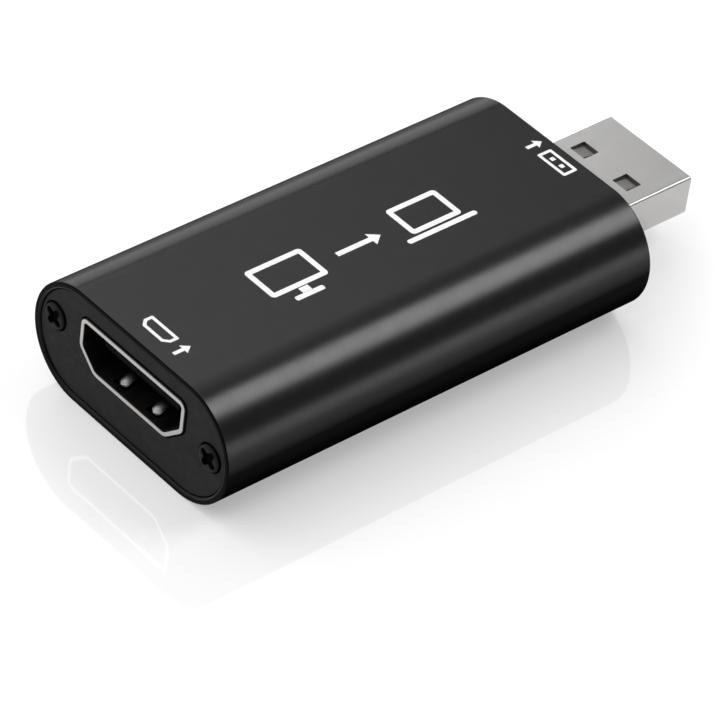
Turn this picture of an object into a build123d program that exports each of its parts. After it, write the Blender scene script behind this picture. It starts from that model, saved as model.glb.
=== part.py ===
from build123d import *
import os

# Video capture converter, in millimetres.
# X runs across the body, Y along it from the video socket to the computer plug, Z up.
# The origin is on the surface that the body rests on, under the middle of the whole length.
# Depths are measured backwards from the front rim of the sleeve.

# Sleeve: aluminium extrusion with flat top and bottom and fully rounded sides
sleeve_width = 28.1
sleeve_height = 12.8
sleeve_length = 52.3
sleeve_wall = 1.1
rim_wall = 0.7
rim_chamfer = 0.15

# End plates, set into a pocket at each end of the sleeve
plate_thickness = 1.2
plate_recess = 0.25
plate_gap = 0.08
plate_chamfer = 0.1
opening_gap = 0.15

# Raised countersunk cross-recess screws and the screw ports of the extrusion
screw_inset = 2.8
left_screw_rise = 1.2
right_screw_rise = 0.3
screw_head_diameter = 2.8
screw_head_rim = 0.1
screw_crown = 0.5
screw_crown_flat = 1.8
screw_shank_diameter = 1.7
screw_length = 6.0
screw_point_length = 0.6
screw_point_diameter = 0.9
screw_turn = 55
cross_span = 2.0
cross_arm_width = 0.5
cross_depth = 0.9
cross_taper = 8
screw_hole_gap = 0.1
port_bore_gap = 0.03
port_wall = 1.05
port_mouth = 0.8

# Circuit board in the card slots of the extrusion
board_inset = 3.25
board_thickness = 1.0
board_drop = 1.45
board_corner = 0.6
board_end_gap = 0.3
card_slot_gap = 0.05
card_slot_depth = 1.1
card_rib = 0.8

# Video socket, 19-way type A
socket_width = 14.0
socket_height = 4.55
socket_floor_width = 9.9
socket_side_height = 2.675
socket_corner = 0.35
socket_shoulder_radius = 0.6
socket_floor_radius = 0.9
socket_sheet = 0.3
socket_lip_width = 0.5
socket_lip_depth = 0.7
socket_lip_setback = 0.05
socket_lip_chamfer = 0.15
socket_length = 11.2
socket_cavity = 8.6
socket_leg_width = 1.6
socket_leg_depths = (4.0, 9.6)
socket_leg_foot = 0.5
leg_slot_gap = 0.15

# Spring fingers in the top and bottom walls of the socket
finger_spacing = 4.7
finger_width = 1.2
finger_slot = 0.3
finger_tip_depth = 1.05
finger_crest_depth = 1.95
finger_root_depth = 6.0
finger_rise = 0.5
finger_tip_rise = 0.05
finger_bend = 0.9
finger_sheet = 0.2

# Tongue and contacts of the socket
tongue_front = 1.3
tongue_width = 11.2
tongue_thickness = 1.2
tongue_lift = 0.5
tongue_edge = 0.2
moulding_gap = 0.03
upper_contact_count = 10
lower_contact_count = 9
contact_pitch = 1.0
contact_width = 0.3
contact_sheet = 0.2
contact_proud = 0.05
contact_setback = 0.5
contact_drop_gap = 0.5
contact_foot = 1.5

# Computer plug, type A
plug_reach = 13.2
plug_width = 12.0
plug_height = 4.5
plug_drop = 1.18
plug_corner = 0.55
plug_sheet = 0.3
plug_hold = 5.3
plug_tip_chamfer = 0.15
plug_hole_width = 2.1
plug_hole_length = 1.95
plug_hole_spacing = 6.1
plug_hole_setback = 5.12
plug_seam = 0.1
plug_leg_width = 1.0
plug_leg_setback = 0.8
plug_leg_pitch = 1.6
plug_leg_reach = 1.4
plug_leg_foot = 0.5
board_notch_gap = 0.15

# Tongue, snap wedges and contacts of the plug
plug_tongue_setback = 0.45
plug_tongue_thickness = 1.92
plug_tongue_edge = 0.3
plug_cavity = 9.2
wedge_width = 1.5
wedge_gap = 0.08
wedge_sink = 0.05
plug_contact_xs = (-3.5, -1.0, 1.0, 3.5)
plug_contact_width = 1.0
power_contact_setback = 1.3
signal_contact_setback = 2.3
plug_contact_drop = 0.3
plug_contact_foot = 1.7

# Arrays that protect the video lines, behind the socket's contacts
surge_array_gap = 4.75
surge_array_acrosses = (-4.8, -1.6, 1.6, 4.8)
surge_array_size = (1.0, 2.5, 0.55)

# Quad package of the capture chip, behind the arrays
chip_gap = 8.9
chip_size = 7.0
chip_thickness = 1.4
chip_lead_count = 12
chip_lead_pitch = 0.5
chip_lead_width = 0.22
chip_lead_reach = 1.0

# Memory chip, behind the capture chip
memory_across = 4.6
memory_gap = 8.5
memory_width = 3.9
memory_length = 4.9
memory_thickness = 1.45
memory_lead_count = 4
memory_lead_pitch = 1.27
memory_lead_width = 0.4
memory_lead_reach = 1.05

# Voltage regulators, in front of the plug
regulator_acrosses = (-6.0, -2.0)
regulator_gap = 5.5
regulator_width = 1.6
regulator_length = 2.9
regulator_thickness = 1.1
regulator_lead_pitch = 0.95
regulator_lead_width = 0.4
regulator_lead_reach = 0.7

# What all chip packages share
package_standoff = 0.1
package_draft = 6
lead_sheet = 0.15
lead_foot = 0.35

# Clock crystal, behind the capture chip
crystal_across = -6.2
crystal_gap = 5.6
crystal_width = 2.5
crystal_length = 3.2
crystal_base_height = 0.5
crystal_lid_height = 0.3
crystal_lid_inset = 0.15
crystal_corner = 0.3

# Small chip parts: length, width and height of each body
capacitor_size = (1.6, 0.8, 0.8)
resistor_size = (1.0, 0.5, 0.35)
bead_size = (2.0, 1.25, 0.9)
chip_part_edge = 0.08

# Capacitors and the bead along the board's edges, in from the edge and back from the capture chip
side_capacitor_inset = 2.2
side_capacitor_offsets = (-5.0, -2.5, 0.0)
rear_capacitor_gap = 0.6
bead_inset = 2.8
bead_offset = 4.6

# Small parts round the capture chip, each by its distance across and back from the chip's middle
near_capacitor_offsets = ((-2.6, 6.0), (-0.2, 6.0))
resistor_offsets = (
    (-6.5, -8.0), (-6.5, -6.6), (6.5, -8.0), (6.5, -6.6),
    (-4.5, -6.0), (4.5, -6.0), (0.6, 7.6), (-1.6, 7.6),
)

# Places that follow from the sizes above
screw_proud = max(screw_crown - plate_recess, 0)
front_y = (screw_proud - sleeve_length - plug_reach) / 2
sleeve_middle = sleeve_height / 2
pocket_depth = plate_recess + plate_thickness
board_width = sleeve_width - 2 * board_inset
board_top = sleeve_middle - board_drop
plug_axis_height = sleeve_middle - plug_drop
socket_axis_height = board_top + socket_sheet + socket_height / 2
socket_front = socket_lip_setback
socket_back = socket_front + socket_length
plug_tip = sleeve_length + plug_reach
plug_back = sleeve_length - plug_hold
board_front = pocket_depth + board_end_gap
board_back = sleeve_length - pocket_depth - board_end_gap
screw_x = sleeve_width / 2 - screw_inset
left_screw_height = sleeve_middle + left_screw_rise
right_screw_height = sleeve_middle + right_screw_rise
screw_places = ((-screw_x, left_screw_height), (screw_x, right_screw_height))
finger_xs = (-finger_spacing / 2, finger_spacing / 2)
socket_leg_x = (socket_width + socket_sheet) / 2
plug_leg_x = plug_width / 2 + plug_leg_reach - plug_sheet / 2
plug_leg_depths = (plug_back + plug_leg_setback, plug_back + plug_leg_setback + plug_leg_pitch)
tongue_middle = socket_axis_height + tongue_lift
tongue_upper_face = tongue_middle + tongue_thickness / 2
tongue_lower_face = tongue_middle - tongue_thickness / 2
plug_tongue_top = plug_axis_height + plug_height / 2 - plug_sheet - moulding_gap
plug_tongue_face = plug_tongue_top - plug_tongue_thickness
contact_foot_height = board_top + contact_sheet / 2
surge_array_depth = socket_back + surge_array_gap
surge_array_places = [(x, surge_array_depth) for x in surge_array_acrosses]
chip_depth = surge_array_depth + chip_gap
memory_depth = chip_depth + memory_gap
crystal_depth = chip_depth + crystal_gap
regulator_depth = plug_back - regulator_gap
side_capacitor_x = board_width / 2 - side_capacitor_inset
bead_place = (board_width / 2 - bead_inset, chip_depth + bead_offset)


def section_plane(depth):
    """Plane across the body at a depth, drawn on in X and Z, facing the front."""
    return Plane(origin=(0, front_y + depth, 0), x_dir=(1, 0, 0), z_dir=(0, -1, 0))


def run_back(outline, start, end):
    """Solid with the outline, drawn in X and Z, from one depth to a deeper one."""
    return extrude(section_plane(start) * outline, amount=start - end)


def board_plane(height):
    """Plane at a height, drawn on in X and depth."""
    return Plane(origin=(0, front_y, height), x_dir=(1, 0, 0), z_dir=(0, 0, 1))


def span(start, end, bottom, top):
    """Rectangle between two places along the drawing's first axis and two along its second."""
    return Pos((start + end) / 2, (bottom + top) / 2) * Rectangle(abs(end - start), abs(top - bottom))


def side_span(side, inner, outer, bottom, top):
    """Rectangle between two distances from the middle, on the left (-1) or on the right (1)."""
    return span(side * inner, side * outer, bottom, top)


def along_strip(side, width, across):
    """Strip of a width, centred across, whose side view is drawn in depth and height."""
    plane = Plane(origin=(across, front_y, 0), x_dir=(0, 1, 0), z_dir=(1, 0, 0))
    return extrude(plane * side, amount=width / 2, both=True)


def stepped_side(start, height, drop, end):
    """Side view of a contact: from its tip at a height to a drop, down to the board and on to its end."""
    half = contact_sheet / 2
    outwards = half if end > start else -half
    beam = span(start, drop + outwards, height - half, height + half)
    riser = span(drop - half, drop + half, height, contact_foot_height)
    foot = span(drop - outwards, end, contact_foot_height - half, contact_foot_height + half)
    return beam + riser + foot


def even_offsets(count, pitch):
    """Evenly pitched offsets about zero."""
    return [(index - (count - 1) / 2) * pitch for index in range(count)]


def body_section(wall):
    """Outline that lies a wall's thickness inside the sleeve's outer one."""
    outline = SlotOverall(sleeve_width - 2 * wall, sleeve_height - 2 * wall)
    return Pos(0, sleeve_middle) * outline


def screw_port_section(side, screw_height):
    """Boss, rib and card slot that the extrusion has along one side; side is -1 or 1."""
    bore_radius = screw_shank_diameter / 2 + port_bore_gap
    boss_radius = bore_radius + port_wall
    slot_end = board_width / 2 + card_slot_gap
    slot_mouth = slot_end - card_slot_depth
    slot_bottom = board_top - board_thickness - card_slot_gap
    slot_top = board_top + card_slot_gap
    boss = Pos(side * screw_x, screw_height) * Circle(boss_radius)
    rib = side_span(side, slot_mouth, sleeve_width / 2, slot_bottom - card_rib, screw_height)
    slot = side_span(side, slot_mouth - boss_radius, slot_end, slot_bottom, slot_top)
    bore = Pos(side * screw_x, screw_height) * Circle(bore_radius)
    mouth_bottom = screw_height - port_mouth / 2
    mouth_top = screw_height + port_mouth / 2
    mouth = side_span(side, slot_mouth - boss_radius, screw_x, mouth_bottom, mouth_top)
    return boss + rib - slot - bore - mouth


def make_sleeve():
    """Extrusion with its screw ports and card slots, and a pocket for the plate at each end."""
    bore = body_section(sleeve_wall)
    ports = screw_port_section(-1, left_screw_height) + screw_port_section(1, right_screw_height)
    tube = run_back(body_section(0) - (bore - ports), 0, sleeve_length)
    pocket = body_section(rim_wall)
    tube -= run_back(pocket, 0, pocket_depth)
    tube -= run_back(pocket, sleeve_length - pocket_depth, sleeve_length)
    ends = tube.faces().sort_by(Axis.Y)
    rims = ends[0].outer_wire().edges() + ends[-1].outer_wire().edges()
    return chamfer(rims, rim_chamfer)


def screw_on(plane, gap=0.0):
    """Screw whose head's rim lies in the plane and faces its normal, or with a gap its hole."""
    head = screw_head_diameter / 2 + gap
    shank = screw_shank_diameter / 2 + gap
    cone_end = screw_head_rim + head - shank
    profile = Polyline(
        (0, screw_crown), (screw_crown_flat / 2, screw_crown), (head, 0), (head, -screw_head_rim),
        (shank, -cone_end), (shank, screw_point_length - screw_length),
        (screw_point_diameter / 2, -screw_length), (0, -screw_length), close=True,
    )
    return plane * revolve(Plane.XZ * make_face(profile), axis=Axis.Z)


def cross_recess(plane):
    """Tapered cross that is cut into the crown of a screw's head."""
    arm = Rectangle(cross_span, cross_arm_width)
    cross = Rot(Z=screw_turn) * (arm + Rot(Z=90) * arm)
    return extrude(plane.offset(screw_crown) * cross, amount=-cross_depth, taper=cross_taper)


def front_screw_planes():
    """Planes of the front screws' heads, facing out of the front."""
    return [
        Plane(origin=(x, front_y + plate_recess, height), x_dir=(1, 0, 0), z_dir=(0, -1, 0))
        for x, height in screw_places
    ]


def rear_screw_planes():
    """Planes of the rear screws' heads, facing out of the rear."""
    rear_y = front_y + sleeve_length - plate_recess
    return [
        Plane(origin=(x, rear_y, height), x_dir=(-1, 0, 0), z_dir=(0, 1, 0))
        for x, height in screw_places
    ]


def make_screws(planes):
    """Group of separate screws, one on each plane."""
    return Compound(children=[screw_on(plane) - cross_recess(plane) for plane in planes])


def socket_outline(margin):
    """Outline of the video socket's mouth, wide side up, grown outwards by a margin."""
    half_width = socket_width / 2
    top = socket_height / 2
    shoulder = top - socket_side_height
    half_floor = socket_floor_width / 2
    corners = [
        (-half_width, top), (half_width, top), (half_width, shoulder),
        (half_floor, -top), (-half_floor, -top), (-half_width, shoulder),
    ]
    mouth = make_face(Polyline(*corners, close=True))
    rows = mouth.vertices().group_by(Axis.Y)
    mouth = fillet(rows[-1], socket_corner)
    mouth = fillet(mouth.vertices().group_by(Axis.Y)[0], socket_floor_radius)
    shoulders = [v for v in mouth.vertices() if abs(v.Y - shoulder) < socket_sheet / 10]
    mouth = fillet(shoulders, socket_shoulder_radius)
    if margin:
        mouth = offset(mouth, amount=margin, kind=Kind.ARC)
    return Pos(0, socket_axis_height) * mouth


def plug_outline(inset):
    """Rounded rectangle of the plug's shell, drawn in by an inset."""
    outline = RectangleRounded(plug_width - 2 * inset, plug_height - 2 * inset, plug_corner - inset)
    return Pos(0, plug_axis_height) * outline


def make_plate(start, opening, screw_planes, face_index):
    """End plate with its opening and countersunk holes; face_index picks its outer face."""
    outline = body_section(rim_wall + plate_gap)
    plate = run_back(outline - opening, start, start + plate_thickness)
    outer = plate.faces().sort_by(Axis.Y)[face_index]
    plate = chamfer(outer.outer_wire().edges(), plate_chamfer)
    for plane in screw_planes:
        plate -= screw_on(plane, screw_hole_gap)
    return plate


def make_front_plate():
    """Front plate, with the opening that clears the socket's lip."""
    opening = socket_outline(socket_lip_width + opening_gap)
    return make_plate(plate_recess, opening, front_screw_planes(), 0)


def make_rear_plate():
    """Rear plate, with the opening that clears the plug's shell."""
    start = sleeve_length - pocket_depth
    return make_plate(start, plug_outline(-opening_gap), rear_screw_planes(), -1)


def finger_side(wall_height, inwards):
    """Side view of a spring finger from its free tip to its root in a wall; inwards is -1 or 1."""
    path = FilletPolyline(
        (finger_tip_depth, wall_height + inwards * finger_tip_rise),
        (finger_crest_depth, wall_height + inwards * finger_rise),
        (finger_root_depth, wall_height),
        (finger_root_depth + socket_sheet, wall_height),
        radius=finger_bend,
    )
    return trace(path, line_width=finger_sheet)


def make_socket_shell():
    """Stamped shell of the video socket, with its lip, spring fingers and board legs."""
    mouth = socket_outline(0)
    shell = run_back(socket_outline(socket_sheet) - mouth, socket_front, socket_back)
    lip = socket_outline(socket_lip_width) - mouth
    shell += run_back(lip, socket_front, socket_front + socket_lip_depth)
    front = shell.faces().sort_by(Axis.Y)[0]
    shell = chamfer(front.edges(), socket_lip_chamfer)
    half_slot = finger_width / 2 + finger_slot
    for inwards in (1, -1):
        inner_face = socket_axis_height - inwards * socket_height / 2
        wall_height = inner_face - inwards * socket_sheet / 2
        window_bottom = wall_height - socket_sheet
        window_top = wall_height + socket_sheet
        for x in finger_xs:
            window = span(x - half_slot, x + half_slot, window_bottom, window_top)
            shell -= run_back(window, finger_tip_depth - finger_slot, finger_root_depth)
            shell += along_strip(finger_side(wall_height, inwards), finger_width, x)
    foot = board_top - board_thickness - socket_leg_foot
    for x in (-socket_leg_x, socket_leg_x):
        for depth in socket_leg_depths:
            leg = span(x - socket_sheet / 2, x + socket_sheet / 2, foot, socket_axis_height)
            shell += run_back(leg, depth - socket_leg_width / 2, depth + socket_leg_width / 2)
    return shell


def contact_row(count, surface, facing):
    """Contacts of one row, on a face of the tongue that faces up (1) or down (-1)."""
    height = surface + facing * (contact_proud - contact_sheet / 2)
    drop = socket_back + contact_drop_gap
    side = stepped_side(tongue_front + contact_setback, height, drop, drop + contact_foot)
    return [along_strip(side, contact_width, x) for x in even_offsets(count, contact_pitch)]


def make_socket_insulator(contacts):
    """Black moulding of the socket: a block at the back of the shell with the tongue on it."""
    block = run_back(socket_outline(-moulding_gap), socket_cavity, socket_back)
    tongue_half = tongue_width / 2
    tongue = run_back(
        span(-tongue_half, tongue_half, tongue_lower_face, tongue_upper_face), tongue_front, socket_cavity
    )
    nose = tongue.faces().sort_by(Axis.Y)[0]
    tongue = chamfer(nose.edges(), tongue_edge)
    moulding = block + tongue
    for contact in contacts:
        moulding -= contact
    return moulding


def plug_holes(height):
    """The two retention holes in the wall of the plug's shell at a height."""
    holes = []
    for side in (-1, 1):
        middle = side * plug_hole_spacing / 2
        half = plug_hole_width / 2
        window = span(middle - half, middle + half, height - plug_sheet, height + plug_sheet)
        end = plug_tip - plug_hole_setback
        holes.append(run_back(window, end - plug_hole_length, end))
    return holes


def make_plug_shell():
    """Folded shell of the plug, with its holes, the seam underneath and its board legs."""
    shell = run_back(plug_outline(0) - plug_outline(plug_sheet), plug_back, plug_tip)
    mouth = shell.faces().sort_by(Axis.Y)[-1]
    shell = chamfer(mouth.outer_wire().edges(), plug_tip_chamfer)
    roof = plug_axis_height + plug_height / 2 - plug_sheet / 2
    floor = plug_axis_height - plug_height / 2 + plug_sheet / 2
    for hole in plug_holes(roof) + plug_holes(floor):
        shell -= hole
    seam = span(-plug_seam / 2, plug_seam / 2, floor - plug_sheet, floor + plug_sheet)
    shell -= run_back(seam, plug_back, plug_tip)
    foot = board_top - board_thickness - plug_leg_foot
    wall = (plug_width - plug_sheet) / 2
    outer = plug_width / 2 + plug_leg_reach
    for side in (-1, 1):
        wing = side_span(side, wall, outer, board_top, board_top + plug_sheet)
        pin = side_span(side, outer - plug_sheet, outer, foot, board_top + plug_sheet)
        for depth in plug_leg_depths:
            shell += run_back(wing + pin, depth - plug_leg_width / 2, depth + plug_leg_width / 2)
    return shell


def make_plug_contacts():
    """The plug's four contacts on the tongue's lower face; the outer two reach further forwards."""
    height = plug_tongue_face - contact_proud + contact_sheet / 2
    drop = plug_back - plug_contact_drop
    contacts = []
    for x in plug_contact_xs:
        outer = abs(x) == max(plug_contact_xs)
        setback = power_contact_setback if outer else signal_contact_setback
        side = stepped_side(plug_tip - setback, height, drop, drop - plug_contact_foot)
        contacts.append(along_strip(side, plug_contact_width, x))
    return contacts


def make_plug_insulator(contacts):
    """Light moulding of the plug: tongue against the roof of the shell, block behind, snap wedges on top."""
    inner = plug_outline(plug_sheet + moulding_gap)
    block = run_back(inner, plug_back, plug_tip - plug_cavity)
    slab = span(-plug_width / 2, plug_width / 2, plug_tongue_face, plug_tongue_top)
    tongue = run_back(inner & slab, plug_tip - plug_cavity, plug_tip - plug_tongue_setback)
    nose = tongue.faces().sort_by(Axis.Y)[-1]
    lower_edge = nose.edges().sort_by(Axis.Z)[0]
    moulding = block + chamfer(lower_edge, plug_tongue_edge)
    wedge_back = plug_tip - plug_hole_setback - plug_hole_length + wedge_gap
    wedge_front = plug_tip - plug_hole_setback - wedge_gap
    wedge_top = plug_tongue_top + plug_sheet - wedge_gap
    side = make_face(Polyline(
        (wedge_back, plug_tongue_top - wedge_sink), (wedge_front, plug_tongue_top - wedge_sink),
        (wedge_front, plug_tongue_top), (wedge_back, wedge_top), close=True,
    ))
    for x in (-plug_hole_spacing / 2, plug_hole_spacing / 2):
        moulding += along_strip(side, wedge_width, x)
    for contact in contacts:
        moulding -= contact
    return moulding


def make_board():
    """Circuit board with its slots for the connectors' legs and the notch that the plug sits in."""
    length = board_back - board_front
    sketch = Pos(0, (board_front + board_back) / 2) * RectangleRounded(board_width, length, board_corner)
    notch_half = plug_width / 2 + board_notch_gap
    sketch -= span(-notch_half, notch_half, plug_back - board_notch_gap, board_back + board_notch_gap)
    slot_width = socket_sheet + 2 * leg_slot_gap
    for x in (-socket_leg_x, socket_leg_x):
        for depth in socket_leg_depths:
            sketch -= Pos(x, depth) * Rectangle(slot_width, socket_leg_width + 2 * leg_slot_gap)
    for x in (-plug_leg_x, plug_leg_x):
        for depth in plug_leg_depths:
            slot = Rectangle(plug_sheet + 2 * leg_slot_gap, plug_leg_width + 2 * leg_slot_gap)
            sketch -= Pos(x, depth) * slot
    return extrude(board_plane(board_top - board_thickness) * sketch, amount=board_thickness)


def package(across, depth, width, length, thickness):
    """Moulded chip body, widest at its mid height, a standoff above the board."""
    middle = board_top + package_standoff + thickness / 2
    face = board_plane(middle) * (Pos(across, depth) * Rectangle(width, length))
    upper = extrude(face, amount=thickness / 2, taper=package_draft)
    lower = extrude(face, amount=-thickness / 2, taper=package_draft)
    return upper + lower


def gull_lead(plane, thickness, reach, width):
    """Lead that leaves a package at mid height along the plane's X and lands on the board in a foot."""
    middle = package_standoff + thickness / 2
    half = lead_sheet / 2
    heel = reach - lead_foot
    knee = heel / 2
    side = make_face(Polyline(
        (0, middle + half), (knee + half, middle + half), (heel + half, lead_sheet), (reach, lead_sheet),
        (reach, 0), (heel - half, 0), (knee - half, middle - half), (0, middle - half), close=True,
    ))
    return extrude(plane * side, amount=width / 2, both=True)


def lead_plane(across, depth, direction):
    """Upright plane on the board at a package's edge, with its X along the lead's direction."""
    return Plane(
        origin=(across, front_y + depth, board_top),
        x_dir=direction, z_dir=Vector(direction).cross(Vector(0, 0, 1)),
    )


def lead_rows(across, depth, half_width, thickness, offsets, reach, width):
    """Leads along the two sides of a package that face across the board, at offsets along it."""
    leads = []
    for side in (-1, 1):
        for offset_along in offsets:
            plane = lead_plane(across + side * half_width, depth + offset_along, (side, 0, 0))
            leads.append(gull_lead(plane, thickness, reach, width))
    return leads


def make_chip_leads():
    """Leads on all four sides of the capture chip."""
    offsets = even_offsets(chip_lead_count, chip_lead_pitch)
    half_size = chip_size / 2
    leads = lead_rows(0, chip_depth, half_size, chip_thickness, offsets, chip_lead_reach, chip_lead_width)
    for side in (-1, 1):
        for offset_across in offsets:
            plane = lead_plane(offset_across, chip_depth + side * half_size, (0, side, 0))
            leads.append(gull_lead(plane, chip_thickness, chip_lead_reach, chip_lead_width))
    return leads


def make_memory_chip():
    """Body of the memory chip."""
    return package(memory_across, memory_depth, memory_width, memory_length, memory_thickness)


def make_memory_leads():
    """Leads on two sides of the memory chip."""
    return lead_rows(
        memory_across, memory_depth, memory_width / 2, memory_thickness,
        even_offsets(memory_lead_count, memory_lead_pitch), memory_lead_reach, memory_lead_width,
    )


def make_regulators():
    """Bodies of the voltage regulators."""
    return [
        package(x, regulator_depth, regulator_width, regulator_length, regulator_thickness)
        for x in regulator_acrosses
    ]


def make_regulator_leads():
    """Three leads on one side of each regulator and two on the other."""
    leads = []
    for x in regulator_acrosses:
        for side, pitches in ((-1, (-1, 0, 1)), (1, (-1, 1))):
            for offset_along in [steps * regulator_lead_pitch for steps in pitches]:
                edge = x + side * regulator_width / 2
                plane = lead_plane(edge, regulator_depth + offset_along, (side, 0, 0))
                lead = gull_lead(plane, regulator_thickness, regulator_lead_reach, regulator_lead_width)
                leads.append(lead)
    return leads


def crystal_slab(inset, bottom, height):
    """Slab of the crystal's package, with its corners cut off."""
    outline = Rectangle(crystal_width - 2 * inset, crystal_length - 2 * inset)
    outline = chamfer(outline.vertices(), crystal_corner)
    sketch = Pos(crystal_across, crystal_depth) * outline
    return extrude(board_plane(bottom) * sketch, amount=height)


def make_crystal_lid():
    """Metal lid of the crystal, on its base."""
    return crystal_slab(crystal_lid_inset, board_top + crystal_base_height, crystal_lid_height)


def chip_part(place, size):
    """Small chip part with softened upper edges, standing on the board at a place of across and depth."""
    length, width, height = size
    sketch = Pos(*place) * Rectangle(length, width)
    block = extrude(board_plane(board_top) * sketch, amount=height)
    return chamfer(block.faces().sort_by(Axis.Z)[-1].edges(), chip_part_edge)


def chip_parts(places, size):
    """One small part at each place."""
    return [chip_part(place, size) for place in places]


def capacitor_places():
    """Places of all capacitors: along both edges, behind the capture chip and beside the plug."""
    places = [(x, chip_depth + back) for x, back in near_capacitor_offsets]
    for x in (-side_capacitor_x, side_capacitor_x):
        places += [(x, chip_depth + back) for back in side_capacitor_offsets]
        places.append((x, plug_back - rear_capacitor_gap))
    return places


def resistor_places():
    """Places of all resistors, round the capture chip."""
    return [(x, chip_depth + back) for x, back in resistor_offsets]


def write_node(name, pieces):
    """Write one node's solids to its own file."""
    solids = [solid for piece in pieces for solid in piece.solids()]
    node = solids[0] if len(solids) == 1 else Compound(children=solids)
    node.label = name
    export_step(node, f"parts/{name}.step")


os.makedirs("parts", exist_ok=True)

upper_contacts = contact_row(upper_contact_count, tongue_upper_face, 1)
lower_contacts = contact_row(lower_contact_count, tongue_lower_face, -1)
plug_contacts = make_plug_contacts()

write_node("sleeve", [make_sleeve()])
write_node("front_plate", [make_front_plate()])
write_node("rear_plate", [make_rear_plate()])
write_node("front_screws", [make_screws(front_screw_planes())])
write_node("rear_screws", [make_screws(rear_screw_planes())])
write_node("circuit_board", [make_board()])
write_node("socket_shell", [make_socket_shell()])
write_node("socket_insulator", [make_socket_insulator(upper_contacts + lower_contacts)])
write_node("socket_upper_contacts", upper_contacts)
write_node("socket_lower_contacts", lower_contacts)
write_node("plug_shell", [make_plug_shell()])
write_node("plug_insulator", [make_plug_insulator(plug_contacts)])
write_node("plug_contacts", plug_contacts)
write_node("capture_chip", [package(0, chip_depth, chip_size, chip_size, chip_thickness)])
write_node("capture_chip_leads", make_chip_leads())
write_node("memory_chip", [make_memory_chip()])
write_node("memory_chip_leads", make_memory_leads())
write_node("crystal_base", [crystal_slab(0, board_top, crystal_base_height)])
write_node("crystal_lid", [make_crystal_lid()])
write_node("regulators", make_regulators())
write_node("regulator_leads", make_regulator_leads())
write_node("capacitors", chip_parts(capacitor_places(), capacitor_size))
write_node("resistors", chip_parts(resistor_places(), resistor_size))
write_node("surge_arrays", chip_parts(surge_array_places, surge_array_size))
write_node("ferrite_bead", chip_parts([bead_place], bead_size))
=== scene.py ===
import math

import bmesh
import bpy
import numpy as np
from mathutils import Matrix, Vector
from mathutils.geometry import tessellate_polygon


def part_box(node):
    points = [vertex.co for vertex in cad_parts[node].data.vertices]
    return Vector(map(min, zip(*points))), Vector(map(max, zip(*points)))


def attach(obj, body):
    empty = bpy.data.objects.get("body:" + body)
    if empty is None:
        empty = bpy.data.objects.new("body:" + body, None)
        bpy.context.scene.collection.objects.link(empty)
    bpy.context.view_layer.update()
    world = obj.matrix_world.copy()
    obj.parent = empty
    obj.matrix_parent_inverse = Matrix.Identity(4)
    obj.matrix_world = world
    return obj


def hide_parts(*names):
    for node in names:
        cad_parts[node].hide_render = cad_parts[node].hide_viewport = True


# Looks of the video capture converter. Shapes are worked out in millimetres: X across, depth
# backwards from the front rim of the sleeve, and Z up from the surface that the body rests on.

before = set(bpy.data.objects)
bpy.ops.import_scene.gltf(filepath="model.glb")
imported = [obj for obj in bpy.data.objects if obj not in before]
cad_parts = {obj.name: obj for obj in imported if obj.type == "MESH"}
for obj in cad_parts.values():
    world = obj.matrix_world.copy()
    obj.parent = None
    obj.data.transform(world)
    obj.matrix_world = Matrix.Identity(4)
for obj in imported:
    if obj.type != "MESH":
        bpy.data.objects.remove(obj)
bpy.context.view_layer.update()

MM = 0.001
sleeve_low, sleeve_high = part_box("sleeve")
FRONT = sleeve_low.y / MM

# Sleeve
SLEEVE_WIDTH = (sleeve_high.x - sleeve_low.x) / MM
SLEEVE_HEIGHT = (sleeve_high.z - sleeve_low.z) / MM
SLEEVE_LENGTH = (sleeve_high.y - sleeve_low.y) / MM
SLEEVE_MIDDLE = SLEEVE_HEIGHT / 2
SLEEVE_WALL = 1.1
RIM_WALL = 0.7
RIM_OUTER_RADIUS = 0.16
RIM_INNER_RADIUS = 0.3
SAWN_WIDTH = RIM_WALL - 0.8 * RIM_INNER_RADIUS
SAWN_SLOPE = 0.3
ROUNDING_END = RIM_WALL + 0.01
ROUNDING_SLOPE = 0.1

# Board, with the card slots and the screw ports inside the sleeve
BOARD_DROP = 1.45
BOARD_TOP = SLEEVE_MIDDLE - BOARD_DROP
BOARD_THICKNESS = 1.0
BOARD_INSET = 3.25
SLOT_REACH = 1.05
SLOT_PLAY = 0.05
RIB_INSET = 2.2
RIB_HEIGHT = 0.8
SHELF_INSET = 1.2
SHELF_HEIGHT = 0.4
PORT_RADIUS = 1.93
PORT_BORE_RADIUS = 0.88
PORT_MOUTH_ANGLE = 54

# End plates and their screws
PLATE_RECESS = 0.25
PLATE_THICKNESS = 1.2
PLATE_GAP = 0.05
PLATE_EDGE = 0.08
OPENING_GAP = 0.15
OPENING_EDGE = 0.06
SCREW_INSET = 2.8
SCREW_X = SLEEVE_WIDTH / 2 - SCREW_INSET
LEFT_SCREW_RISE = 1.2
RIGHT_SCREW_RISE = 0.3
SCREW_PLACES = (
    (-SCREW_X, SLEEVE_MIDDLE + LEFT_SCREW_RISE),
    (SCREW_X, SLEEVE_MIDDLE + RIGHT_SCREW_RISE),
)
SCREW_HEAD_RADIUS = 1.4
SCREW_HEAD_RIM = 0.1
SCREW_CROWN = 0.3
SCREW_CROWN_POWER = 9
SCREW_HOLE_RADIUS = 1.54
SCREW_HOLE_EDGE = 0.04
SCREW_SHANK_RADIUS = 0.85
SCREW_CONE_DEPTH = 0.65
SCREW_LENGTH = 6.0
SCREW_POINT_LENGTH = 0.6
SCREW_POINT_RADIUS = 0.45
CROSS_TURN = 55
CROSS_SPAN = 2.3
CROSS_DEPTH = 0.6
CROSS_FLOOR_RISE = 0.45
CROSS_HALF_WIDTH = 0.47
CROSS_ARM_END = 0.3
CROSS_WALL = 0.06
CROSS_SHADE_TOP = 0.7 * SCREW_CROWN
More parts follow.
